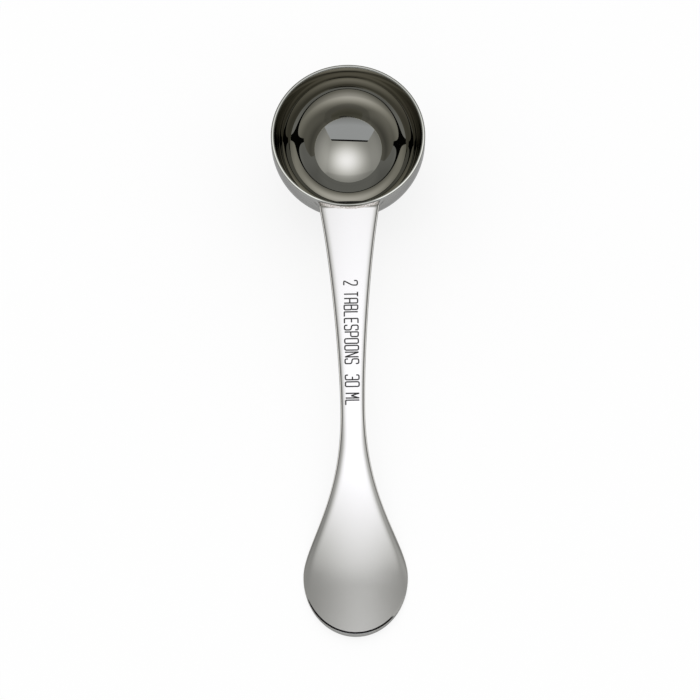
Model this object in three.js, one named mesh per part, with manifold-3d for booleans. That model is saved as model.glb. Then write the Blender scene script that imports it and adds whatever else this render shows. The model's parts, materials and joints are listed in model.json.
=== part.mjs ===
// Coffee scoop: a drawn steel cup, a forged handle that ends in a drop-shaped paddle, and the weld between them.
// Millimetres. +Z is up, the scoop lies on a table at z = 0 as it comes to rest: on the round bottom of its cup
// and on the flat underside of its paddle. The handle points along -Y.
import * as THREE from 'three';
import { mergeVertices } from 'three/addons/utils/BufferGeometryUtils.js';
import Module from 'manifold-3d';

const wasm = await Module();
wasm.setup();

// Cup
const cupOuterRadius = 23.25;
const cupWall = 1;
const collarHeight = 4.6; // straight wall between the rim and the half-sphere
const rimRound = 0.25; // rounding of the rim's two edges

// Handle, seen from above: half-widths and the distances between them
const shoulderHalfWidth = 8.9; // at the cup
const waistHalfWidth = 3.6;
const paddleHalfWidth = 14.95;
const cupToWaist = 64;
const waistToPaddle = 51.5;
const paddleToTip = 19.35;
const shoulderTaper = 0.166; // how fast the half-width shrinks as it leaves the cup
const shoulderReach = 21.1; // Bezier handle lengths of the outline
const waistReachUp = 14.3;
const waistReachDown = 28.5;
const paddleReachUp = 10.7;
const roundEnd = 0.5523; // Bezier handle of a quarter ellipse, as a share of its radius

// Handle, seen from the side
const handleThickness = 2.8;
const stemCrownRadius = 120; // the top face is domed across, more so on the paddle
const paddleCrownRadius = 56;
const rollOffWidth = 2.8; // the stem's top face rolls off towards its edges over this width
const rollOffDrop = 0.36; // by this much
const rollOffPower = 3.5; // and ever more steeply
const topEdgeShare = 0.45; // radius of the top edge's rounding, as a share of the local thickness
const bottomEdgeShare = 0.3;
const arrisAngle = THREE.MathUtils.degToRad(23); // lean of the rounded edge where the top face meets it
const waistToBend = 14; // the stem runs straight this far past its waist
const bendRadius = 190; // underside radius of the bend that lays the paddle flat

// Weld
const buttGap = 0.3; // between the cup wall and the handle's butt end
const weldGap = 0.2; // between the weld and the steel on each side of it
const weldGroove = 1.5; // chamfer on the butt end's top edge, which the weld fills
const weldLeg = 1.8; // legs of the fillet beside and under the handle

// Mesh fineness
const cupSegments = 72;
const arcSteps = 14;
const outlineSteps = [20, 22, 14]; // shoulder to waist, waist to paddle, paddle to tip
const edgeSteps = 4;
const acrossSteps = 4;
const rimSteps = 3;
const filletSteps = 6;
const mergeDistance = 1e-5;

// Places that follow from the sizes above. Distances run along the handle from the cup's axis.
const shoulder = cupOuterRadius;
const waist = shoulder + cupToWaist;
const paddle = waist + waistToPaddle;
const tip = paddle + paddleToTip;
const bendStart = waist + waistToBend;

// The angle between stem and table: the cup's ball and the paddle's flat underside touch the table together.
function restAngle() {
  const rise = collarHeight - handleThickness + bendRadius;
  const reach = Math.hypot(bendStart, rise);
  return Math.atan2(rise, bendStart) + Math.asin((cupOuterRadius - bendRadius) / reach);
}

const tilt = restAngle();
const bendEnd = bendStart + bendRadius * tilt;

// Solids

function asSolid(geometry) {
  const bare = geometry.clone();
  bare.deleteAttribute('normal');
  bare.deleteAttribute('uv');
  const merged = mergeVertices(bare, mergeDistance);
  const triangles = [];
  const index = merged.index.array;
  for (let i = 0; i < index.length; i += 3) {
    const [a, b, c] = [index[i], index[i + 1], index[i + 2]];
    if (a !== b && b !== c && c !== a) triangles.push(a, b, c);
  }
  return new wasm.Manifold(new wasm.Mesh({
    numProp: 3,
    vertProperties: new Float32Array(merged.attributes.position.array),
    triVerts: new Uint32Array(triangles),
  }));
}

function asGeometry(solid) {
  const mesh = solid.getMesh();
  const geometry = new THREE.BufferGeometry();
  geometry.setAttribute('position', new THREE.BufferAttribute(mesh.vertProperties, 3));
  geometry.setIndex(new THREE.BufferAttribute(mesh.triVerts, 1));
  geometry.computeVertexNormals();
  return geometry;
}

// A solid of revolution about Z. The profile's points are [radius, height], counter-clockwise.
function revolve(profile) {
  const points = profile.map(([radius, height]) => new THREE.Vector2(radius, height));
  return new THREE.LatheGeometry(points, cupSegments).rotateX(Math.PI / 2);
}

// Points on an arc in the plane of a profile, angles in radians from the first axis.
function arc(centreX, centreY, radius, from, to, steps) {
  const points = [];
  for (let i = 0; i <= steps; i++) {
    const angle = from + (to - from) * i / steps;
    points.push([centreX + radius * Math.cos(angle), centreY + radius * Math.sin(angle)]);
  }
  return points;
}

// Cup: a half-sphere under a short straight collar, drawn from one sheet. The rim's plane is z = 0.

function cupProfile() {
  const inner = cupOuterRadius - cupWall;
  const quarter = Math.PI / 2;
  const outside = arc(0, -collarHeight, cupOuterRadius, -quarter, 0, arcSteps);
  const rimOutside = arc(cupOuterRadius - rimRound, -rimRound, rimRound, 0, quarter, rimSteps);
  const rimInside = arc(inner + rimRound, -rimRound, rimRound, quarter, 2 * quarter, rimSteps);
  const inside = arc(0, -collarHeight, inner, 0, -quarter, arcSteps);
  outside[0][0] = 0;
  inside[arcSteps][0] = 0;
  return [...outside, ...rimOutside, ...rimInside, ...inside];
}

// Handle

// Half of the outline, from inside the cup to the tip: points and outward normals in the plane of the blank.
function outline() {
  const curve = (x0, y0, x1, y1, x2, y2, x3, y3) => new THREE.CubicBezierCurve(
    new THREE.Vector2(x0, y0), new THREE.Vector2(x1, y1), new THREE.Vector2(x2, y2), new THREE.Vector2(x3, y3));
  const curves = [
    curve(shoulderHalfWidth, shoulder,
      shoulderHalfWidth - shoulderTaper * shoulderReach, shoulder + shoulderReach,
      waistHalfWidth, waist - waistReachUp, waistHalfWidth, waist),
    curve(waistHalfWidth, waist, waistHalfWidth, waist + waistReachDown,
      paddleHalfWidth, paddle - paddleReachUp, paddleHalfWidth, paddle),
    curve(paddleHalfWidth, paddle, paddleHalfWidth, paddle + roundEnd * paddleToTip,
      roundEnd * paddleHalfWidth, tip, 0, tip),
  ];
  const stations = [];
  const add = (point, tangent) => stations.push({ point, normal: new THREE.Vector2(tangent.y, -tangent.x) });
  // The blank starts inside the cup's wall, where the butt end is then cut to the cup's radius.
  const start = curves[0].getTangent(0);
  add(curves[0].getPoint(0).addScaledVector(start, -cupOuterRadius / 2), start);
  curves.forEach((part, number) => {
    for (let i = number === 0 ? 0 : 1; i <= outlineSteps[number]; i++) {
      const at = i / outlineSteps[number];
      add(part.getPoint(at), part.getTangent(at));
    }
  });
  stations.at(-1).normal.set(0, 1); // the tip lies on the middle line
  return stations;
}

// Lays a point of the flat blank (across, along, height above the underside) on the bent handle.
// The stem's top is level with the rim's plane, z = 0.
function bend(across, along, height) {
  const centreZ = bendRadius - handleThickness;
  const angle = THREE.MathUtils.clamp((along - bendStart) / bendRadius, 0, tilt);
  const radius = bendRadius - height;
  const before = Math.min(along, bendStart);
  const after = Math.max(along - bendEnd, 0);
  return [
    across,
    -before - radius * Math.sin(angle) - after * Math.cos(angle),
    centreZ - radius * Math.cos(angle) + after * Math.sin(angle),
  ];
}

// Height of the domed top face over the underside.
function crownHeight(across, along) {
  const onPaddle = THREE.MathUtils.smoothstep(along, bendStart, paddle);
  const curvature = THREE.MathUtils.lerp(1 / stemCrownRadius, 1 / paddleCrownRadius, onPaddle);
  return handleThickness - curvature * across ** 2 / 2;
}

// The same with the roll-off near the edges, which fades out along the paddle's sides.
function topHeight(across, along, fromEdge) {
  const fade = 1 - THREE.MathUtils.smoothstep(along, paddle - paddleHalfWidth, paddle + paddleHalfWidth / 2);
  const rollOff = Math.max(0, 1 - fromEdge / rollOffWidth) ** rollOffPower;
  return crownHeight(across, along) - rollOffDrop * fade * rollOff;
}

// One half of a cross-section, from the middle of the underside round the edge to the middle of the top.
// The blank can be grown all round, to clear the real one.
function halfSection({ point, normal }, grow) {
  const thickness = crownHeight(point.x, point.y);
  const topRound = topEdgeShare * thickness;
  const bottomRound = bottomEdgeShare * thickness;
  const at = (inset) => [
    Math.max(0, point.x - normal.x * (inset - grow)),
    point.y - normal.y * (inset - grow),
  ];
  const section = [];
  const bottomFace = at(bottomRound);
  for (let i = 0; i < acrossSteps; i++) section.push([bottomFace[0] * i / acrossSteps, bottomFace[1], -grow]);
  for (let i = 0; i <= edgeSteps; i++) {
    const turn = Math.PI / 2 * i / edgeSteps;
    section.push([...at(bottomRound * (1 - Math.sin(turn))), bottomRound * (1 - Math.cos(turn)) - grow]);
  }
  const arrisInset = topRound * (1 - Math.sin(arrisAngle));
  const topFace = at(arrisInset);
  const centreHeight = topHeight(...topFace, arrisInset) - topRound * Math.cos(arrisAngle);
  for (let i = 0; i <= edgeSteps; i++) {
    const lean = Math.PI / 2 - (Math.PI / 2 - arrisAngle) * i / edgeSteps;
    section.push([...at(topRound * (1 - Math.sin(lean))), centreHeight + topRound * Math.cos(lean) + grow]);
  }
  for (let i = acrossSteps - 1; i >= 0; i--) {
    const x = topFace[0] * i / acrossSteps;
    section.push([x, topFace[1], topHeight(x, topFace[1], arrisInset + topFace[0] - x) + grow]);
  }
  return section;
}

// The forged blank: cross-sections joined from the cup to the tip, closed by a flat cap inside the cup.
function handleBlank(grow = 0) {
  const loops = outline().map((station) => {
    const half = halfSection(station, grow);
    const other = half.slice(1, -1).reverse().map(([x, y, z]) => [-x, y, z]);
    return [...half, ...other];
  });
  const size = loops[0].length;
  const positions = loops.flat().flatMap(([across, along, height]) => bend(across, along, height));
  const triangles = [];
  for (let row = 0; row < loops.length - 1; row++) {
    for (let i = 0; i < size; i++) {
      const next = (i + 1) % size;
      const [a, b, c, d] = [row * size + i, row * size + next, (row + 1) * size + next, (row + 1) * size + i];
      triangles.push(a, b, c, a, c, d);
    }
  }
  for (let i = 1; i < size - 1; i++) triangles.push(0, i + 1, i);
  const geometry = new THREE.BufferGeometry();
  geometry.setAttribute('position', new THREE.Float32BufferAttribute(positions, 3));
  geometry.setIndex(triangles);
  return geometry;
}

// What is cut from the butt end: the cup's cylinder, opening into a 45 degree chamfer at the top.
// The clearance is what is left between the cup and the cut steel.
function buttCutter(clearance, chamfer) {
  const radius = cupOuterRadius + clearance;
  const below = -collarHeight - cupOuterRadius;
  const above = cupOuterRadius;
  return revolve([
    [0, below], [radius, below], [radius, -chamfer], [radius + chamfer + above, above], [0, above],
  ]);
}

function handleSolid() {
  const chamfer = weldGroove - buttGap;
  return asSolid(handleBlank()).subtract(asSolid(buttCutter(buttGap, chamfer)));
}

// Weld: one bead that runs round the butt end. It fills the groove on top, level with the rim,
// and makes a hollow fillet beside and under the handle.

function weldRing() {
  const inside = cupOuterRadius + weldGap;
  const outside = cupOuterRadius + weldLeg;
  const low = -handleThickness - weldLeg;
  const hollow = arc(outside, low, weldLeg - weldGap, Math.PI, Math.PI / 2, filletSteps);
  return revolve([...hollow, [outside, -weldGap], [outside - weldGap, 0], [inside, 0], hollow[0]]);
}

// The bead seen from above: as wide as the handle, with a hollow flare against the cup at each side.
function weldPlan() {
  const wallAt = (across) => Math.sqrt(cupOuterRadius ** 2 - across ** 2);
  const half = shoulderHalfWidth + weldLeg;
  const corner = wallAt(shoulderHalfWidth);
  const inside = wallAt(half) - weldLeg;
  const outside = cupOuterRadius + 2 * weldLeg;
  const shape = new THREE.Shape();
  shape.moveTo(-half, -inside);
  shape.lineTo(-half, -wallAt(half));
  shape.quadraticCurveTo(-shoulderHalfWidth, -corner, -shoulderHalfWidth, -corner - weldLeg);
  shape.lineTo(-shoulderHalfWidth, -outside);
  shape.lineTo(shoulderHalfWidth, -outside);
  shape.lineTo(shoulderHalfWidth, -corner - weldLeg);
  shape.quadraticCurveTo(shoulderHalfWidth, -corner, half, -wallAt(half));
  shape.lineTo(half, -inside);
  const depth = handleThickness + 2 * weldLeg;
  return new THREE.ExtrudeGeometry(shape, { depth, bevelEnabled: false, curveSegments: filletSteps })
    .translate(0, 0, weldLeg / 2 - depth);
}

function weldSolid() {
  const chamfer = weldGroove - buttGap - weldGap * Math.tan(Math.PI / 8);
  const grownHandle = asSolid(handleBlank(weldGap)).subtract(asSolid(buttCutter(buttGap - weldGap, chamfer)));
  return asSolid(weldRing()).intersect(asSolid(weldPlan())).subtract(grownHandle);
}

// Assembly

const polishedSteel = new THREE.MeshStandardMaterial({ color: 0xb9b6ae, roughness: 0.08, metalness: 1 });
const satinSteel = new THREE.MeshStandardMaterial({ color: 0xc9c8c4, roughness: 0.2, metalness: 1 });
const weldSteel = new THREE.MeshStandardMaterial({ color: 0xbab5ab, roughness: 0.35, metalness: 1 });

function part(name, geometry, material) {
  const mesh = new THREE.Mesh(geometry, material);
  mesh.name = name;
  return mesh;
}

const tool = new THREE.Group();
tool.add(
  part('scoop_cup', asGeometry(asSolid(revolve(cupProfile()))), polishedSteel),
  part('handle', asGeometry(handleSolid()), satinSteel),
  part('weld_bead', asGeometry(weldSolid()), weldSteel),
);

// The tool lies tilted by its rest angle. The origin is under the middle of its bounding box.
tool.rotation.x = tilt;
tool.position.z = cupOuterRadius + collarHeight * Math.cos(tilt);
tool.updateMatrixWorld(true);
const box = new THREE.Box3().setFromObject(tool, true);
tool.position.y = -(box.min.y + box.max.y) / 2;

const scoop = new THREE.Group();
scoop.add(tool);

export default scoop;
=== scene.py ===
"""Coffee scoop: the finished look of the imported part. Metres, in the part's own frame."""
import json
import math

import bpy
from mathutils import Matrix, Vector, noise


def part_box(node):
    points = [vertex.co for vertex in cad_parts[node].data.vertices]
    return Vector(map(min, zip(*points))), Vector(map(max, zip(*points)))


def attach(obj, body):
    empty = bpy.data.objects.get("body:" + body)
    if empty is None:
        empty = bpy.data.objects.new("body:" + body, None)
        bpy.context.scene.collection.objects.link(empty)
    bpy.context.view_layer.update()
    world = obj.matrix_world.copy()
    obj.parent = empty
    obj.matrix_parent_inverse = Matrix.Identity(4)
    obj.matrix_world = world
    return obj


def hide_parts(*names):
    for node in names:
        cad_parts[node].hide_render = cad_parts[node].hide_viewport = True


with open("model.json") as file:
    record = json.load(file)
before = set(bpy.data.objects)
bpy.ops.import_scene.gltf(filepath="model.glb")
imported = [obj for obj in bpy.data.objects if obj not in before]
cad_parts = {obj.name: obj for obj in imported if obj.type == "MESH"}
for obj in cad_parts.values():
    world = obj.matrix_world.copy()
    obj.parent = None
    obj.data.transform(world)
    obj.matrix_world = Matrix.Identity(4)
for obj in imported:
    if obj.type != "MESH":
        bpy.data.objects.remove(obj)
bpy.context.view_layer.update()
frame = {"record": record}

# Sizes of the scoop in millimetres, as the part has them
MM = 0.001
COLLAR_HEIGHT = 4.6
CUP_WALL = 1.0
RIM_ROUND = 0.25
SHOULDER_HALF, WAIST_HALF, PADDLE_HALF = 8.9, 3.6, 14.95
CUP_TO_WAIST, WAIST_TO_PADDLE, PADDLE_TO_TIP = 64.0, 51.5, 19.35
SHOULDER_TAPER = 0.166
SHOULDER_REACH, WAIST_REACH_UP, WAIST_REACH_DOWN, PADDLE_REACH_UP = 21.1, 14.3, 28.5, 10.7
ROUND_END = 0.5523
HANDLE_THICKNESS = 2.8
STEM_CROWN, PADDLE_CROWN = 120.0, 56.0
ROLL_OFF_WIDTH, ROLL_OFF_DROP, ROLL_OFF_POWER = 2.8, 0.36, 3.5
TOP_EDGE_SHARE, BOTTOM_EDGE_SHARE = 0.45, 0.3
ARRIS = math.radians(23.0)
WAIST_TO_BEND = 14.0
BEND_RADIUS = 190.0
WELD_LEG = 1.8

# Places that follow from the frame. The scoop's own frame has its origin in the middle of the rim.
cup_low, cup_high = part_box("scoop_cup")
CUP_RADIUS = (cup_high[0] - cup_low[0]) / 2 / MM
rim_face = next(mount for mount in frame["record"]["mounts"] if mount["name"] == "rim_face")
TILT = math.atan2(-rim_face["axis"][1], rim_face["axis"][2])
rim_centre = Vector((
    0.0,
    cup_high[1] - (CUP_RADIUS + COLLAR_HEIGHT * math.sin(TILT)) * MM,
    (CUP_RADIUS + COLLAR_HEIGHT * math.cos(TILT)) * MM,
))
scoop_to_part = Matrix.Translation(rim_centre) @ Matrix.Rotation(TILT, 4, "X") @ Matrix.Scale(MM, 4)

SHOULDER = CUP_RADIUS
WAIST = SHOULDER + CUP_TO_WAIST
PADDLE = WAIST + WAIST_TO_PADDLE
TIP = PADDLE + PADDLE_TO_TIP
BEND_START = WAIST + WAIST_TO_BEND
BEND_END = BEND_START + BEND_RADIUS * TILT


# Meshes

def grid_faces(rows, columns, close_rows=False, close_columns=False):
    """Quads of a grid of points, row by row."""
    faces = []
    for row in range(rows if close_rows else rows - 1):
        for column in range(columns if close_columns else columns - 1):
            after, beside = (row + 1) % rows, (column + 1) % columns
            faces.append((
                row * columns + column, row * columns + beside,
                after * columns + beside, after * columns + column,
            ))
    return faces


def piece(name, points, faces, materials, grain=None, zones=None, smooth=True):
    """A mesh in the scoop's frame. grain holds each point's place for the streaks of its steel."""
    mesh = bpy.data.meshes.new(name)
    mesh.from_pydata([scoop_to_part @ Vector(point) for point in points], [], faces)
    for material in materials:
        mesh.materials.append(material)
    for face in mesh.polygons:
        face.use_smooth = smooth
        if zones:
            face.material_index = zones[face.index]
    if grain:
        layer = mesh.attributes.new("grain", "FLOAT_VECTOR", "POINT")
        for place, value in zip(layer.data, grain):
            place.vector = value
    mesh.validate()
    made = bpy.data.objects.new(name, mesh)
    bpy.context.scene.collection.objects.link(made)
    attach(made, "root")
    return made


def arc(centre, radius, start, end, steps):
    """Points on an arc of a profile, angles in degrees."""
    angles = [math.radians(start + (end - start) * i / steps) for i in range(steps + 1)]
    return [(centre[0] + radius * math.cos(a), centre[1] + radius * math.sin(a)) for a in angles]


def rounding(start, corner, end, at):
    """A point of the curve that rounds a corner."""
    return (1 - at) ** 2 * start + 2 * at * (1 - at) * corner + at ** 2 * end


def smoothstep(value, low, high):
    """Rises smoothly from 0 to 1 between low and high."""
    share = min(max((value - low) / (high - low), 0.0), 1.0)
    return share * share * (3 - 2 * share)


# Nodes of materials

WHITE = (1.0, 1.0, 1.0, 1.0)
FULL = 1.0
NOISE_LOW, NOISE_HIGH = 0.3, 0.7


def new_material(name):
    """A new material with its nodes, its links and its shader."""
    material = bpy.data.materials.new(name)
    material.use_nodes = True
    nodes = material.node_tree.nodes
    return material, nodes, material.node_tree.links, nodes["Principled BSDF"]


def object_place(nodes):
    """Each point's place in its object."""
    return nodes.new("ShaderNodeTexCoord").outputs["Object"]


def grain_place(nodes):
    """Each point's place along the grain of its steel."""
    grain = nodes.new("ShaderNodeAttribute")
    grain.attribute_name = "grain"
    return grain.outputs["Vector"]


def axes_of(nodes, links, place):
    """The X, Y and Z of a place."""
    axes = nodes.new("ShaderNodeSeparateXYZ")
    links.new(place, axes.inputs["Vector"])
    return axes.outputs


def noise_node(nodes, links, place, scale, detail):
    """Noise over a place that is first stretched by scale."""
    stretch = nodes.new("ShaderNodeMapping")
    stretch.inputs["Scale"].default_value = scale
    texture = nodes.new("ShaderNodeTexNoise")
    texture.inputs["Scale"].default_value = FULL
    texture.inputs["Detail"].default_value = detail
    links.new(place, stretch.inputs["Vector"])
    links.new(stretch.outputs["Vector"], texture.inputs["Vector"])
    return texture.outputs["Fac"]


def spread(nodes, links, value, low, high, start=NOISE_LOW, end=NOISE_HIGH):
    """Maps a value between start and end smoothly to low and high."""
    ramp = nodes.new("ShaderNodeMapRange")
    ramp.interpolation_type = "SMOOTHSTEP"
    ramp.inputs["From Min"].default_value = start
    ramp.inputs["From Max"].default_value = end
    ramp.inputs["To Min"].default_value = low
    ramp.inputs["To Max"].default_value = high
    links.new(value, ramp.inputs["Value"])
    return ramp.outputs["Result"]


def tone(nodes, links, value, dark, light):
    """A colour between dark and light."""
    mix = nodes.new("ShaderNodeMix")
    mix.data_type = "RGBA"
    mix.inputs["A"].default_value = (*dark, FULL)
    mix.inputs["B"].default_value = (*light, FULL)
    links.new(value, mix.inputs["Factor"])
    return mix.outputs["Result"]


def math_node(nodes, links, operation, *values):
    """One step of arithmetic. Each value is a number or an output of another node."""
    step = nodes.new("ShaderNodeMath")
    step.operation = operation
    for socket, value in zip(step.inputs, values):
        if isinstance(value, float):
            socket.default_value = value
        else:
            links.new(value, socket)
    return step.outputs["Value"]


def add_bump(nodes, links, shader, height, depth):
    """Bump of a depth in millimetres."""
    bump = nodes.new("ShaderNodeBump")
    bump.inputs["Strength"].default_value = FULL
    bump.inputs["Distance"].default_value = depth * MM
    links.new(height, bump.inputs["Height"])
    links.new(bump.outputs["Normal"], shader.inputs["Normal"])


# Steels

STREAK_DETAIL, SMUDGE_DETAIL = 4.0, 3.0
SMUDGE_SCALE = (0.12,) * 3
SMUDGE_SMOOTHER, SMUDGE_ROUGHER = 0.8, 1.2


def paint_shade(nodes, links, colour, place, shade_patch):
    """The colour darkened over one area: painted shade. At each point, the highest share among the area's
    bounds is left.
    """
    axes = axes_of(nodes, links, place)
    level = 0.0
    for axis, before, after, start, end in shade_patch:
        bound = spread(nodes, links, axes[axis], before, after, start, end)
        level = math_node(nodes, links, "MAXIMUM", level, bound)
    scaled = nodes.new("ShaderNodeVectorMath")
    scaled.operation = "SCALE"
    links.new(colour, scaled.inputs["Vector"])
    links.new(level, scaled.inputs["Scale"])
    return scaled.outputs["Vector"]


def steel(name, dark, light, roughness, streak_scale, streak_depth, grazing=FULL, shade_patches=()):
    """Polished or satin steel: fine streaks along its grain, and a faint smudging over them.

    grazing is the share of light that is left at a flat angle, where unpolished steel is darker. Each shaded
    area is painted darker than the rest, painted shade, and holds its bounds: an axis of the grain, the
    shares of brightness that are left before and after it, and from where to where along the axis they
    change.
    """
    material, nodes, links, shader = new_material(name)
    place = grain_place(nodes)
    streaks = noise_node(nodes, links, place, streak_scale, STREAK_DETAIL)
    smudges = noise_node(nodes, links, place, SMUDGE_SCALE, SMUDGE_DETAIL)
    shader.inputs["Metallic"].default_value = FULL
    shader.inputs["Specular Tint"].default_value = (grazing, grazing, grazing, FULL)
    colour = tone(nodes, links, smudges, dark, light)
    # Painted shade: each shaded area darkens the colour.
    for shade_patch in shade_patches:
        colour = paint_shade(nodes, links, colour, place, shade_patch)
    links.new(colour, shader.inputs["Base Color"])
    smooth, rough = roughness
    streaked = spread(nodes, links, streaks, 0.0, rough - smooth)
    smudged = spread(nodes, links, smudges, smooth * SMUDGE_SMOOTHER, smooth * SMUDGE_ROUGHER)
    links.new(math_node(nodes, links, "ADD", streaked, smudged), shader.inputs["Roughness"])
    add_bump(nodes, links, shader, streaks, streak_depth)
    return material


# Painted shade on the cup: areas where its colour is darkened. Its grain's Y runs away from the handle, and
# its Z along the profile of the cup.
# Painted shade inside the cup: the upper inner wall and a band of the near wall are darkened, darker
# reflections painted into the mirror's colour.
UPPER_WALL_SHADE = [("Z", 0.63, 1.0, 53.0, 64.0)]
NEAR_WALL_SHADE = [("Z", 1.0, 0.78, 62.5, 65.0), ("Z", 0.78, 1.0, 69.5, 72.5), ("Y", 0.78, 1.0, -4.0, 2.0)]
# Painted shade on the rim: darker next to the handle and on the far side.
NEAR_RIM_SHADE = [("Y", 0.55, 1.0, -21.9, -20.6)]
FAR_RIM_SHADE = [("Y", 1.0, 0.6, -8.0, 16.0)]

mirror_steel = steel(
    "mirror_steel", dark=(0.54, 0.525, 0.465), light=(0.57, 0.555, 0.50), roughness=(0.004, 0.01),
    streak_scale=(0.25, 0.25, 3.0), streak_depth=0.00001, shade_patches=(UPPER_WALL_SHADE, NEAR_WALL_SHADE),
)
# Satin steel of the cup's outside. Its base colour is darker than the steel's own: painted shade, standing in
# for the dark surroundings it reflects.
shaded_satin_steel = steel(
    "shaded_satin_steel", dark=(0.345, 0.345, 0.335), light=(0.405, 0.405, 0.395), roughness=(0.2, 0.32),
    streak_scale=(0.3, 0.3, 16.0), streak_depth=0.002, grazing=0.53,
)
rim_steel = steel(
    "rim_steel", dark=(0.70, 0.695, 0.62), light=(0.76, 0.755, 0.675), roughness=(0.08, 0.14),
    streak_scale=(0.3, 0.3, 9.0), streak_depth=0.0003, shade_patches=(NEAR_RIM_SHADE, FAR_RIM_SHADE),
)
handle_steel = steel(
    "handle_steel", dark=(0.755, 0.738, 0.70), light=(0.785, 0.768, 0.73), roughness=(0.09, 0.14),
    streak_scale=(9.0, 0.18, 9.0), streak_depth=0.0003,
)
# A darker copy of the handle's steel, for the handle's edges and butt end and the weld's sides: painted
# shade.
edge_shade_steel = steel(
    "edge_shade_steel", dark=(0.33, 0.33, 0.32), light=(0.39, 0.39, 0.38), roughness=(0.22, 0.34),
    streak_scale=(0.3, 0.3, 12.0), streak_depth=0.001, grazing=0.45,
)


# Weld's steel and the mark's oxide

SPECKLE_SCALE, SPECKLE_DETAIL = (3.2,) * 3, 5.0
HEAT_SCALE, HEAT_DETAIL = (0.8,) * 3, 2.0
HEAT_BROWN, HEAT_PALE = (0.60, 0.55, 0.48), (0.74, 0.72, 0.68)
PIT_START, PIT_END = 0.51, 0.63
PIT_CLEAN, PIT_BROWN = (1.0, 1.0, 1.0), (0.30, 0.24, 0.19)
WELD_ROUGHNESS = (0.18, 0.45)
WELD_BUMP = 0.05
GRIT_SCALE, GRIT_DETAIL = (4000.0,) * 3, 3.0
OXIDE_DARK, OXIDE_PALE = (0.012, 0.012, 0.013), (0.045, 0.043, 0.04)
OXIDE_ROUGHNESS = (0.55, 0.75)


def weld_material():
    """Dressed weld: a little rough and warm, with a speckle of fine brown pits."""
    material, nodes, links, shader = new_material("weld_steel")
    place = grain_place(nodes)
    speckle = noise_node(nodes, links, place, SPECKLE_SCALE, SPECKLE_DETAIL)
    heat = noise_node(nodes, links, place, HEAT_SCALE, HEAT_DETAIL)
    shader.inputs["Metallic"].default_value = FULL
    warm = tone(nodes, links, heat, HEAT_BROWN, HEAT_PALE)
    pits = spread(nodes, links, speckle, 0.0, FULL, PIT_START, PIT_END)
    pitted = tone(nodes, links, pits, PIT_CLEAN, PIT_BROWN)
    stained = nodes.new("ShaderNodeMix")
    stained.data_type = "RGBA"
    stained.blend_type = "MULTIPLY"
    stained.inputs["Factor"].default_value = FULL
    links.new(warm, stained.inputs["A"])
    links.new(pitted, stained.inputs["B"])
    links.new(stained.outputs["Result"], shader.inputs["Base Color"])
    links.new(spread(nodes, links, speckle, *WELD_ROUGHNESS), shader.inputs["Roughness"])
    add_bump(nodes, links, shader, speckle, WELD_BUMP)
    return material


def mark_material():
    """Blackened etching: a dull dark oxide."""
    material, nodes, links, shader = new_material("etched_mark")
    grit = noise_node(nodes, links, object_place(nodes), GRIT_SCALE, GRIT_DETAIL)
    links.new(tone(nodes, links, grit, OXIDE_DARK, OXIDE_PALE), shader.inputs["Base Color"])
    links.new(spread(nodes, links, grit, *OXIDE_ROUGHNESS), shader.inputs["Roughness"])
    return material


# Cup: a half-sphere under a straight collar, polished inside and satin outside

CUP_SEGMENTS = 256
CUP_STEPS = 72
RIM_STEPS = 8
RIM_SOFTENING = 0.17
CUP_MATERIALS = (shaded_satin_steel, mirror_steel, rim_steel)
OUTSIDE, INSIDE, RIM = range(len(CUP_MATERIALS))


def cup():
    """The cup, turned from a profile that runs from its bottom over the rim to the bottom of its inside."""
    inner = CUP_RADIUS - CUP_WALL
    centre = (0.0, -COLLAR_HEIGHT)
    outside = arc(centre, CUP_RADIUS, -90, 0, CUP_STEPS)[1:]
    softened = RIM_ROUND + RIM_SOFTENING
    rim_outside = arc((CUP_RADIUS - softened, -softened), softened, 0, 90, RIM_STEPS)
    rim_inside = arc((inner + softened, -softened), softened, 90, 180, RIM_STEPS)
    inside = arc(centre, inner, 0, -90, CUP_STEPS)[:-1]
    profile = outside + rim_outside + rim_inside + inside
    points, grain = [], []
    travelled = 0.0
    for number, (radius, height) in enumerate(profile):
        if number:
            travelled += math.dist(profile[number - 1], profile[number])
        for segment in range(CUP_SEGMENTS):
            angle = 2 * math.pi * segment / CUP_SEGMENTS
            across, along = radius * math.sin(angle), -radius * math.cos(angle)
            points.append((across, along, height))
            grain.append((across, along, travelled))
    faces = grid_faces(len(profile), CUP_SEGMENTS, close_columns=True)
    rings = [OUTSIDE] * (len(outside) + RIM_STEPS // 2) + [RIM] * (len(rim_inside) + RIM_STEPS // 2)
    rings += [INSIDE] * (len(profile) - len(rings))
    zones = [rings[number // CUP_SEGMENTS] for number in range(len(faces))]
    for ring, depth, zone in ((0, CUP_RADIUS, OUTSIDE), (len(profile) - 1, inner, INSIDE)):
        pole = len(points)
        points.append((0.0, 0.0, -COLLAR_HEIGHT - depth))
        grain.append((0.0, 0.0, 0.0 if zone == OUTSIDE else travelled))
        first = ring * CUP_SEGMENTS
        for segment in range(CUP_SEGMENTS):
            pair = (first + segment, first + (segment + 1) % CUP_SEGMENTS)
            faces.append((pole, *reversed(pair)) if zone == OUTSIDE else (pole, *pair))
            zones.append(zone)
    made = piece("cup_shell", points, faces, CUP_MATERIALS, grain, zones)
    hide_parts("scoop_cup")


# Handle: cross-sections along a drawn outline, with a domed top and rounded edges, bent level at the paddle

OUTLINE_STEPS = (90, 100, 90)
EDGE_STEPS = 12
ACROSS_STEPS = 24
BUTT_SINK = 0.3
# The bottom rounding, and the top rounding where it leans at least this far, get the darker steel: painted
# shade.
SHADE_LEAN = math.radians(60.0)
POLISHED, SHADED = 0, 1

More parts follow.
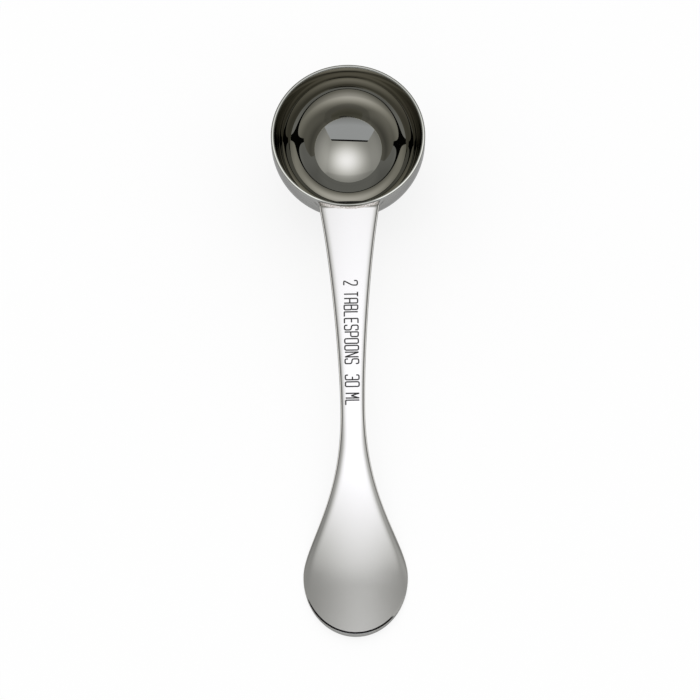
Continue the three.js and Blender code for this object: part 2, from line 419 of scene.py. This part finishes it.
# Small forms that steer reflections: a wider roll-off at the neck, a later bend on top, a facet at the tip
NECK_ROLL_WIDTH, NECK_ROLL_DROP = 3.4, 0.62
TOP_BEND_DELAY = 2.0
TIP_EDGE_SHARE = 0.14
FACET_WIDTH, FACET_LEAST = 0.46, 0.04
FACET_FROM, FACET_TO = 0.1, 0.6

# Extra rows of points that keep the facet flat and the top's border crisp
FACET_SHARES = [0.0, 0.06, 0.94, 1.0]
ARRIS_SUPPORTS = [0.99, 0.98]


def bezier(points, at):
    """A point and a unit direction of a flat cubic Bezier curve."""
    p0, p1, p2, p3 = (Vector(point) for point in points)
    rest = 1 - at
    place = rest ** 3 * p0 + 3 * rest ** 2 * at * p1 + 3 * rest * at ** 2 * p2 + at ** 3 * p3
    slope = rest ** 2 * (p1 - p0) + 2 * rest * at * (p2 - p1) + at ** 2 * (p3 - p2)
    return place, slope.normalized()


def outline():
    """Half of the outline from the cup to the tip: (half-width, distance) and the outward normal."""
    curves = (
        ((SHOULDER_HALF, SHOULDER),
         (SHOULDER_HALF - SHOULDER_TAPER * SHOULDER_REACH, SHOULDER + SHOULDER_REACH),
         (WAIST_HALF, WAIST - WAIST_REACH_UP), (WAIST_HALF, WAIST)),
        ((WAIST_HALF, WAIST), (WAIST_HALF, WAIST + WAIST_REACH_DOWN),
         (PADDLE_HALF, PADDLE - PADDLE_REACH_UP), (PADDLE_HALF, PADDLE)),
        ((PADDLE_HALF, PADDLE), (PADDLE_HALF, PADDLE + ROUND_END * PADDLE_TO_TIP),
         (ROUND_END * PADDLE_HALF, TIP), (0.0, TIP)),
    )
    stations = []
    for number, (curve, steps) in enumerate(zip(curves, OUTLINE_STEPS)):
        for step in range(0 if number == 0 else 1, steps + 1):
            place, slope = bezier(curve, step / steps)
            stations.append((place, Vector((slope.y, -slope.x))))
    stations[-1] = (stations[-1][0], Vector((0.0, 1.0)))
    return stations


def bend(across, along, height):
    """A point of the flat blank, laid on the bent handle. The stem's top is level with the rim."""
    centre = BEND_RADIUS - HANDLE_THICKNESS
    angle = min(max((along - BEND_START) / BEND_RADIUS, 0.0), TILT)
    radius = BEND_RADIUS - height
    before, after = min(along, BEND_START), max(along - BEND_END, 0.0)
    return (
        across,
        -before - radius * math.sin(angle) - after * math.cos(angle),
        centre - radius * math.cos(angle) + after * math.sin(angle),
    )


def bend_rise(along):
    """How far the bent handle has turned up from the stem's line."""
    bent = min(max(along - BEND_START, 0.0), BEND_END - BEND_START)
    return bent ** 2 / BEND_RADIUS / 2 + max(along - BEND_END, 0.0) * TILT


def crown_height(across, along):
    """Height of the domed top over the underside. The top bends later, so the paddle is a little thinner."""
    on_paddle = smoothstep(along, BEND_START, PADDLE)
    curvature = (1 - on_paddle) / STEM_CROWN + on_paddle / PADDLE_CROWN
    thinning = bend_rise(along) - bend_rise(along - TOP_BEND_DELAY)
    return HANDLE_THICKNESS - thinning - curvature * across ** 2 / 2


def top_height(across, along, from_edge):
    """The same with the roll-off near the edges, which fades out along the paddle's sides."""
    fade = 1 - smoothstep(along, PADDLE - PADDLE_HALF, PADDLE + PADDLE_HALF / 2)
    neck = smoothstep(along, WAIST, BEND_START)
    width = ROLL_OFF_WIDTH + (NECK_ROLL_WIDTH - ROLL_OFF_WIDTH) * neck
    drop = ROLL_OFF_DROP + (NECK_ROLL_DROP - ROLL_OFF_DROP) * neck
    roll_off = max(0.0, 1 - from_edge / width) ** ROLL_OFF_POWER
    return crown_height(across, along) - drop * fade * roll_off


def leans(start, end, steps):
    """Evenly spaced leans of a surface, both ends among them."""
    return [start + (end - start) * i / steps for i in range(steps + 1)]


def half_section(place, normal):
    """Half a cross-section, from the middle of the underside round the edge to the middle of the top.

    A narrow flat facet lies between the rounded edge and the top. It is widest round the tip.
    """
    thickness = crown_height(place.x, place.y)
    tip = smoothstep(normal.y, FACET_FROM, FACET_TO)
    top_round = (TOP_EDGE_SHARE + (TIP_EDGE_SHARE - TOP_EDGE_SHARE) * tip) * thickness
    bottom_round = BOTTOM_EDGE_SHARE * thickness

    def at(inset):
        return max(0.0, place.x - normal.x * inset), place.y - normal.y * inset

    x, y = at(bottom_round)
    section = [(x * i / ACROSS_STEPS, y, 0.0) for i in range(ACROSS_STEPS)]
    for lean in leans(0.0, math.pi / 2, EDGE_STEPS):
        section.append((*at(bottom_round * (1 - math.sin(lean))), bottom_round * (1 - math.cos(lean))))
    facet = FACET_LEAST + FACET_WIDTH * tip
    round_inset = top_round * (1 - math.sin(ARRIS))
    arris_inset = round_inset + facet * math.cos(ARRIS)
    x, y = at(arris_inset)
    facet_height = top_height(x, y, arris_inset) - facet * math.sin(ARRIS)
    edge_height = facet_height - top_round * math.cos(ARRIS)
    for lean in leans(math.pi / 2, ARRIS, EDGE_STEPS)[:-1]:
        section.append((*at(top_round * (1 - math.sin(lean))), edge_height + top_round * math.cos(lean)))
    for share in FACET_SHARES:
        on_facet = at(round_inset + share * facet * math.cos(ARRIS))
        section.append((*on_facet, facet_height + share * facet * math.sin(ARRIS)))
    for share in ARRIS_SUPPORTS + [i / ACROSS_STEPS for i in reversed(range(ACROSS_STEPS))]:
        section.append((x * share, y, top_height(x * share, y, arris_inset + x - x * share)))
    return section


def whole_section(place, normal):
    """A closed cross-section."""
    half = half_section(place, normal)
    return half + [(-x, y, z) for x, y, z in reversed(half[1:-1])]


def butt_section(grow=0.0):
    """The cross-section where the handle meets the cup's wall, each point a little inside the wall."""
    normal = Vector((1.0, SHOULDER_TAPER)).normalized()
    depth = CUP_RADIUS - BUTT_SINK + grow
    section = []
    for x, y, z in whole_section(Vector((SHOULDER_HALF, SHOULDER)), normal):
        along = math.sqrt(depth ** 2 - x ** 2)
        section.append((x * (1 + SHOULDER_TAPER * (SHOULDER - along) / SHOULDER_HALF), along, z))
    return section


def handle():
    """The handle, with darker steel round its edges and on its butt end: painted shade."""
    loops = [butt_section()] + [whole_section(place, normal) for place, normal in outline()[1:]]
    blank = [point for loop in loops for point in loop]
    points = [bend(*point) for point in blank]
    around = len(loops[0])
    faces = grid_faces(len(loops), around, close_columns=True)
    shade_steps = sum(lean >= SHADE_LEAN for lean in leans(math.pi / 2, ARRIS, EDGE_STEPS)) - 1
    edge = range(ACROSS_STEPS, ACROSS_STEPS + EDGE_STEPS + 1 + shade_steps)
    zones = []
    for number in range(len(faces)):
        step = number % around
        zones.append(SHADED if step in edge or around - 1 - step in edge else POLISHED)
    faces.append(tuple(reversed(range(around))))
    zones.append(SHADED)
    made = piece("handle_body", points, faces, (handle_steel, edge_shade_steel), blank, zones)
    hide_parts("handle")


# Weld: a bead round the butt end, raised a little on top and hollow beside and under the handle

WELD_STEPS = 8
WELD_TOP = 1.05
WELD_RISE, WELD_RISE_RIPPLE = 0.14, 0.4
WELD_RIPPLE, WELD_RIPPLE_SCALE = 0.12, 1.7
WELD_LEG_POWER, WELD_LEG_LEAST = 1.5, 0.05
WELD_BELOW_RIM = RIM_ROUND / 3
WELD_IN_WALL, WELD_IN_HANDLE, WELD_ROOT = 0.08, 0.03, 0.6
WELD_BRIGHT = 0.7


def weld():
    """The bead, speckled where it faces up, and painted shade elsewhere: the darker edge steel."""
    start = butt_section(BUTT_SINK)
    count = len(start)
    points, upwards = [], []
    for number, (x, along, z) in enumerate(start):
        before, after = start[number - 1], start[(number + 1) % count]
        run = Vector((after[0] - before[0], 0.0, after[2] - before[2])).normalized()
        out = Vector((run.z, 0.0, -run.x))
        upward = max(0.0, out.z)
        upwards.append(upward)
        wave = noise.noise(Vector((x, along, z)) * WELD_RIPPLE_SCALE)
        wall_leg = WELD_LEG * (1 - upward) ** WELD_LEG_POWER + WELD_LEG_LEAST
        wall_leg += WELD_RIPPLE * wave * (1 - upward)
        handle_leg = WELD_LEG + (WELD_TOP - WELD_LEG) * upward + WELD_RIPPLE * wave
        on_wall = Vector((x, 0.0, z - HANDLE_THICKNESS)) + out * wall_leg
        on_wall.z = min(on_wall.z, -WELD_BELOW_RIM)
        on_wall.y = -math.sqrt((CUP_RADIUS - WELD_IN_WALL) ** 2 - on_wall.x ** 2)
        narrower = 1 - SHOULDER_TAPER * handle_leg / SHOULDER_HALF
        on_handle = Vector(bend(x * narrower, along + handle_leg, z)) - out * WELD_IN_HANDLE
        root = Vector(bend(x, along, z))
        corner = root + out * WELD_RISE * (upward + WELD_RISE_RIPPLE * wave * upward)
        for step in range(WELD_STEPS + 1):
            points.append(rounding(on_wall, corner, on_handle, step / WELD_STEPS))
        points.append(root - out * WELD_ROOT)
    around = WELD_STEPS + 2
    faces = grid_faces(count, around, close_rows=True, close_columns=True)
    # Faces that face up less than WELD_BRIGHT get the darker steel: painted shade.
    zones = [SHADED if upwards[number // around] < WELD_BRIGHT else POLISHED for number in range(len(faces))]
    made = piece("weld_seam", points, faces, (weld_material(), edge_shade_steel), points, zones)
    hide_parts("weld_bead")


# Capacity mark: thin blackened strokes along the stem, their tops towards +X.
# A glyph is a list of strokes in its unit cell: plain, with rounded corners, or a rounded loop.

MARK_TEXT = "2 TABLESPOONS  30 ML"
MARK_MIDDLE = 66.5
MARK_HEIGHT = 4.0
MARK_STROKE = 0.42
MARK_GLYPH, MARK_GAP, MARK_SPACE = 1.45, 0.66, 1.45
MARK_CORNER, MARK_CORNER_STEPS = 0.5, 5
MARK_STEP = 0.4
MARK_PROUD, MARK_SUNK = 0.012, 0.1
BAR_CORNERS = ((-1, MARK_PROUD), (1, MARK_PROUD), (1, -MARK_SUNK), (-1, -MARK_SUNK))
CELL_MIDDLE = 0.5
BOX = [(0, 0), (0, 1), (1, 1), (1, 0)]
STEM_LEFT = ("plain", [(0, 0), (0, 1)])
GLYPHS = {
    "0": [("loop", BOX)],
    "O": [("loop", BOX)],
    "2": [("round", [(0, 0.76), (0, 1), (1, 1), (1, 0.62), (0, 0), (1, 0)])],
    "3": [("round", [(0, 0.8), (0, 1), (1, 1), (1, 0), (0, 0), (0, 0.2)]),
          ("plain", [(0.35, 0.52), (1, 0.52)])],
    "A": [("round", BOX), ("plain", [(0, 0.42), (1, 0.42)])],
    "B": [STEM_LEFT, ("round", [(0, 1), (0.95, 1), (0.95, 0.53), (0, 0.53)]),
          ("round", [(0.3, 0.53), (1, 0.53), (1, 0), (0, 0)])],
    "E": [STEM_LEFT, ("plain", [(0, 0), (1, 0)]), ("plain", [(0, 0.52), (0.85, 0.52)]),
          ("plain", [(0, 1), (1, 1)])],
    "L": [STEM_LEFT, ("plain", [(0, 0), (1, 0)])],
    "M": [STEM_LEFT, ("plain", [(0, 1), (0.5, 0.4)]), ("plain", [(0.5, 0.4), (1, 1)]),
          ("plain", [(1, 1), (1, 0)])],
    "N": [STEM_LEFT, ("plain", [(0, 1), (1, 0)]), ("plain", [(1, 0), (1, 1)])],
    "P": [STEM_LEFT, ("round", [(0, 1), (1, 1), (1, 0.45), (0, 0.45)])],
    "S": [("round", [(1, 0.78), (1, 1), (0, 1), (0, 0.53), (1, 0.47), (1, 0), (0, 0), (0, 0.22)])],
    "T": [("plain", [(0, 1), (1, 1)]), ("plain", [(0.5, 1), (0.5, 0)])],
}


def rounded(points, closed):
    """A stroke with its corners rounded."""
    count = len(points)
    result = []
    for number, corner in enumerate(points):
        if not closed and number in (0, count - 1):
            result.append(corner)
            continue
        ends = []
        for other in (points[number - 1], points[(number + 1) % count]):
            away = other - corner
            ends.append(corner + away.normalized() * min(MARK_CORNER, away.length / 2))
        start, end = ends
        for step in range(MARK_CORNER_STEPS + 1):
            result.append(rounding(start, corner, end, step / MARK_CORNER_STEPS))
    return result


def refined(points, closed):
    """A stroke with points close enough together to follow the stem's dome."""
    result = []
    for start, end in zip(points, points[1:] + points[:1]):
        steps = math.ceil((end - start).length / MARK_STEP)
        result.extend(start.lerp(end, step / steps) for step in range(steps))
    return result if closed else result[:result.index(points[-1]) + 1]


def ribbon(stroke, closed, on_stem, points, faces):
    """Adds one stroke as a thin closed bar that follows the stem's top."""
    count, ring = len(stroke), len(BAR_CORNERS)
    first = len(points)
    for number, place in enumerate(stroke):
        before = stroke[number - 1] if closed or number else place
        after = stroke[(number + 1) % count] if closed or number < count - 1 else place
        run = (after - before).normalized()
        side = Vector((run.y, -run.x)) * MARK_STROKE / 2
        points.extend(on_stem(place + turn * side, height) for turn, height in BAR_CORNERS)
    for face in grid_faces(count, ring, close_rows=closed, close_columns=True):
        faces.append(tuple(first + number for number in face))
    if not closed:
        faces.append(tuple(first + number for number in reversed(range(ring))))
        faces.append(tuple(first + (count - 1) * ring + number for number in range(ring)))


def capacity_mark():
    """The mark, set along the middle of the stem's top."""
    stations = [place for place, normal in outline()]

    def on_stem(place, height):
        along, across = place
        near = next(number for number, station in enumerate(stations) if station.y > along)
        low, high = stations[near - 1], stations[near]
        half = low.x + (high.x - low.x) * (along - low.y) / (high.y - low.y)
        return bend(across, along, top_height(across, along, half - abs(across)) + height)

    placed = []
    along = 0.0
    for letter in MARK_TEXT:
        if letter == " ":
            along += MARK_SPACE
        else:
            placed.append((along, letter))
            along += MARK_GLYPH + MARK_GAP
    start = MARK_MIDDLE - (along - MARK_GAP) / 2
    points, faces = [], []
    for offset, letter in placed:
        for kind, corners in GLYPHS[letter]:
            stroke = [
                Vector((start + offset + u * MARK_GLYPH, (v - CELL_MIDDLE) * MARK_HEIGHT)) for u, v in corners
            ]
            closed = kind == "loop"
            if kind != "plain":
                stroke = rounded(stroke, closed)
            ribbon(refined(stroke, closed), closed, on_stem, points, faces)
    piece("capacity_mark", points, faces, (mark_material(),), smooth=False)


cup()
handle()
weld()
capacity_mark()


# View: where the camera stands, measured from the rim's ellipse. The zenith angle is negative forwards.

VIEW_DISTANCE = 1.0
VIEW_SIDE = -0.0005
VIEW_OFF_RIM = math.radians(23.8)
VIEW_ZENITH = -VIEW_OFF_RIM - TILT
CAMERA_PLACE = rim_centre + VIEW_DISTANCE * Vector((VIEW_SIDE, math.sin(VIEW_ZENITH), math.cos(VIEW_ZENITH)))


# Stage: a pale floor, and the panels of a light tent that only the steel's reflections see

FLOOR_REACH = 6.0
FLOOR_LEVEL = -0.00002
FLOOR_GLOW = 0.78
FLOOR_ROUGHNESS = 0.9
MOTTLE_SCALE, MOTTLE_DETAIL = (9.0,) * 3, 2.0
PAPER_DARK, PAPER_PALE = (0.93,) * 3, (0.95,) * 3

# The tent's sizes, and its dark slot and its lamp by their angles from the upright at the cup
TENT_HEIGHT = 1.4
TENT_LEFT, TENT_RIGHT = -0.98, 0.84
TENT_BACK = 1.15
SLOT_TOP = VIEW_ZENITH + math.radians(0.9)
SLOT_BOTTOM = VIEW_ZENITH - math.radians(1.8)
SLOT_SLANT = math.radians(1.6)
LAMP_ZENITH = VIEW_ZENITH + math.radians(31.6)

# The tent's light: the lamp's glow on the cloth, and how the cloth darkens towards the back and the floor
LAMP_SIDE = 0.07
LAMP_PEAK = 1.14
LAMP_BASE = 0.375
LAMP_SIDE_RISE = 0.01
LAMP_SPREAD = 0.62
LAMP_TINT, CLOTH_TINT = (0.985, 1.0, 1.09), (0.975, 0.99, 0.985)
BACK_FADE_START, BACK_FADE_END, BACK_SHARE = 0.54, 0.67, 0.81
LOW_LEVEL, LOW_SHARE = 1.0, 0.28
BACK_TOP, BACK_BOTTOM = (0.32, 0.32, 0.305), (0.06, 0.065, 0.035)
FRONT_TOP, FRONT_BOTTOM = (0.485, 0.512, 0.565), (0.12, 0.12, 0.11)
FRONT_FADE = 0.55
SLOT_DARK = (0.005, 0.005, 0.005, 1.0)

# The black card near the tip: how far off it is, and which leans and directions of the edge mirror it
CARD_DISTANCE = 0.022
CARD_LEANS = (math.radians(19.0), math.radians(31.0))
CARD_LEFT, CARD_RIGHT = math.cos(math.radians(78.0)), math.cos(math.radians(62.0))
CARD_STEP = 5


def floor_material():
    """White paper that glows a little to the eye, which keeps the shadow faint."""
    material, nodes, links, shader = new_material("floor_paper")
    mottle = noise_node(nodes, links, object_place(nodes), MOTTLE_SCALE, MOTTLE_DETAIL)
    links.new(tone(nodes, links, mottle, PAPER_DARK, PAPER_PALE), shader.inputs["Base Color"])
    shader.inputs["Roughness"].default_value = FLOOR_ROUGHNESS
    shader.inputs["Specular IOR Level"].default_value = 0.0
    white = nodes.new("ShaderNodeEmission")
    white.inputs["Color"].default_value = WHITE
    path = nodes.new("ShaderNodeLightPath")
    seen = math_node(nodes, links, "MAXIMUM", path.outputs["Is Camera Ray"], path.outputs["Is Glossy Ray"])
    seen = math_node(nodes, links, "MAXIMUM", seen, path.outputs["Is Transmission Ray"])
    paper = nodes.new("ShaderNodeMixShader")
    share, plain, glowing = paper.inputs
    links.new(math_node(nodes, links, "MULTIPLY", seen, FLOOR_GLOW), share)
    links.new(shader.outputs["BSDF"], plain)
    links.new(white.outputs["Emission"], glowing)
    links.new(paper.outputs["Shader"], nodes["Material Output"].inputs["Surface"])
    return material


def glow(name):
    """A material that only sends out light, with its nodes, its links and its light."""
    material, nodes, links, shader = new_material(name)
    nodes.remove(shader)
    light = nodes.new("ShaderNodeEmission")
    links.new(light.outputs["Emission"], nodes["Material Output"].inputs["Surface"])
    return material, nodes, links, light


def from_cup(zenith, height):
    """How far along y a line from the rim's middle is when it reaches a height."""
    return rim_centre.y + math.tan(zenith) * (height - rim_centre.z)


def lamp_cloth():
    """Cloth of the tent's top and sides, lit by a lamp above the cup, darker towards the back and floor."""
    material, nodes, links, light = glow("tent_lamp_cloth")
    place = object_place(nodes)
    away = nodes.new("ShaderNodeVectorMath")
    away.operation = "DISTANCE"
    here, lamp = away.inputs[:2]
    links.new(place, here)
    lamp.default_value = (LAMP_SIDE, from_cup(LAMP_ZENITH, TENT_HEIGHT), TENT_HEIGHT)
    share = math_node(nodes, links, "DIVIDE", away.outputs["Value"], LAMP_SPREAD)
    fade = math_node(nodes, links, "POWER", math.exp(-1), math_node(nodes, links, "MULTIPLY", share, share))
    axes = axes_of(nodes, links, place)
    base = math_node(nodes, links, "MULTIPLY_ADD", axes["X"], LAMP_SIDE_RISE, LAMP_BASE)
    level = math_node(nodes, links, "MULTIPLY_ADD", fade, LAMP_PEAK, base)
    behind = spread(nodes, links, axes["Y"], FULL, BACK_SHARE, BACK_FADE_START, BACK_FADE_END)
    low = spread(nodes, links, axes["Z"], LOW_SHARE, FULL, 0.0, LOW_LEVEL)
    level = math_node(nodes, links, "MULTIPLY", level, behind)
    links.new(math_node(nodes, links, "MULTIPLY", level, low), light.inputs["Strength"])
    links.new(tone(nodes, links, fade, CLOTH_TINT, LAMP_TINT), light.inputs["Color"])
    return material


def wall_cloth(name, bottom, top, level):
    """Cloth of a tent wall that darkens below a level towards the floor."""
    material, nodes, links, light = glow(name)
    axes = axes_of(nodes, links, object_place(nodes))
    share = math_node(nodes, links, "DIVIDE", axes["Z"], level)
    links.new(tone(nodes, links, share, bottom, top), light.inputs["Color"])
    return material


def dark_cloth():
    """Black cloth of the slot and the card."""
    material, nodes, links, light = glow("tent_slot_dark")
    light.inputs["Color"].default_value = SLOT_DARK
    return material


def stage_sheet(name, corners, material, faces=None):
    """A flat or folded sheet that belongs to the stage."""
    mesh = bpy.data.meshes.new(name)
    mesh.from_pydata([Vector(corner) for corner in corners], [], faces or [tuple(range(len(corners)))])
    mesh.materials.append(material)
    made = bpy.data.objects.new(name, mesh)
    bpy.context.scene.collection.objects.link(made)
    return made


def panel(name, corners, material, faces=None):
    """A tent panel: seen in reflections, but neither by the camera nor by the floor."""
    made = stage_sheet(name, corners, material, faces)
    made.visible_camera = False
    made.visible_diffuse = False
    made.visible_shadow = False


def tip_card(dark):
    """A black card bent round the tip, which draws the dark line along the facet of the tip's edge."""
    stations = [(place, normal) for place, normal in outline() if place.y > PADDLE][::CARD_STEP]
    left = [(-1, place, normal) for place, normal in stations if normal.y > CARD_LEFT]
    right = [(1, place, normal) for place, normal in reversed(stations) if normal.y > CARD_RIGHT]
    corners = []
    for side, place, normal in left + right:
        edge = scoop_to_part @ Vector(bend(side * place.x, place.y, HANDLE_THICKNESS))
        view = (CAMERA_PLACE - edge).normalized()
        for lean in CARD_LEANS:
            facing = Vector((side * normal.x * math.sin(lean), -normal.y * math.sin(lean), math.cos(lean)))
            corners.append(edge + CARD_DISTANCE * (2 * facing.dot(view) * facing - view))
    rows = len(CARD_LEANS)
    panel("tip_card", corners, dark, grid_faces(len(corners) // rows, rows))


def stage():
    """The floor, the tent and the card."""
    square = ((-1, -1), (1, -1), (1, 1), (-1, 1))
    corners = [(x * FLOOR_REACH, y * FLOOR_REACH, FLOOR_LEVEL) for x, y in square]
    stage_sheet("floor", corners, floor_material())
    left, right, back, top = TENT_LEFT, TENT_RIGHT, TENT_BACK, TENT_HEIGHT
    cloth, dark = lamp_cloth(), dark_cloth()
    slot = []
    for x, slant in ((left, SLOT_SLANT), (right, -SLOT_SLANT)):
        front = from_cup(SLOT_TOP + slant, top)
        wall_top = rim_centre.z + (front - rim_centre.y) / math.tan(SLOT_BOTTOM + slant)
        slot.append((Vector((x, front, 0)), Vector((x, front, wall_top)), Vector((x, front, top))))
    (left_foot, left_ledge, left_top), (right_foot, right_ledge, right_top) = slot
    panel("tent_top", (left_top, right_top, (right, back, top), (left, back, top)), cloth)
    panel("tent_front", (left_foot, right_foot, right_ledge, left_ledge),
          wall_cloth("tent_front_cloth", FRONT_BOTTOM, FRONT_TOP, FRONT_FADE))
    panel("tent_slot", (left_ledge, right_ledge, right_top, left_top), dark)
    panel("tent_left", (left_foot, (left, back, 0), (left, back, top), left_top), cloth)
    panel("tent_right", (right_foot, (right, back, 0), (right, back, top), right_top), cloth)
    panel("tent_back", ((left, back, 0), (right, back, 0), (right, back, top), (left, back, top)),
          wall_cloth("tent_back_cloth", BACK_BOTTOM, BACK_TOP, TENT_HEIGHT))
    tip_card(dark)


# Lights: a white sky and a soft lamp over the tent, which light the floor

SKY_STRENGTH = 1.0
SOFT_LAMP_SIZE, SOFT_LAMP_ENERGY = 0.6, 1.0
SOFT_LAMP_PLACE = (-0.15, rim_centre.y, TENT_HEIGHT * 1.2)


def lights():
    """The sky and the lamp. The steel mirrors the tent and not the lamp."""
    scene = bpy.context.scene
    world = bpy.data.worlds.new("studio")
    scene.world = world
    world.use_nodes = True
    sky = world.node_tree.nodes["Background"]
    sky.inputs["Color"].default_value = WHITE
    sky.inputs["Strength"].default_value = SKY_STRENGTH
    lamp = bpy.data.lights.new("soft_lamp", "AREA")
    lamp.shape = "DISK"
    lamp.size = SOFT_LAMP_SIZE
    lamp.energy = SOFT_LAMP_ENERGY
    holder = bpy.data.objects.new("soft_lamp", lamp)
    holder.location = SOFT_LAMP_PLACE
    holder.visible_glossy = False
    scene.collection.objects.link(holder)


# Camera: the photograph's view, its aim and lens measured from the handle's length

AXIS_OFF_RIM = math.radians(20.089)
VIEW_ROLL = math.radians(-0.98)
VIEW_LENS = 170.7
SENSOR = 36.0
CLIP_END = 20.0


def camera():
    """The camera at its place, aimed and rolled as the photograph's."""
    aim = Matrix.Rotation(AXIS_OFF_RIM + TILT, 4, "X") @ Matrix.Rotation(VIEW_ROLL, 4, "Z")
    data = bpy.data.cameras.new("camera")
    data.lens = VIEW_LENS
    data.sensor_width = SENSOR
    data.clip_end = CLIP_END
    made = bpy.data.objects.new("camera", data)
    made.matrix_world = Matrix.Translation(CAMERA_PLACE) @ aim
    bpy.context.scene.collection.objects.link(made)
    bpy.context.scene.camera = made


# Reflections: light is followed through every bounce that shows inside the cup
REFLECTION_BOUNCES = 10

stage()
lights()
camera()
bpy.context.scene.view_settings.view_transform = "Standard"
bpy.context.scene.cycles.glossy_bounces = REFLECTION_BOUNCES
bpy.context.scene.cycles.min_light_bounces = REFLECTION_BOUNCES
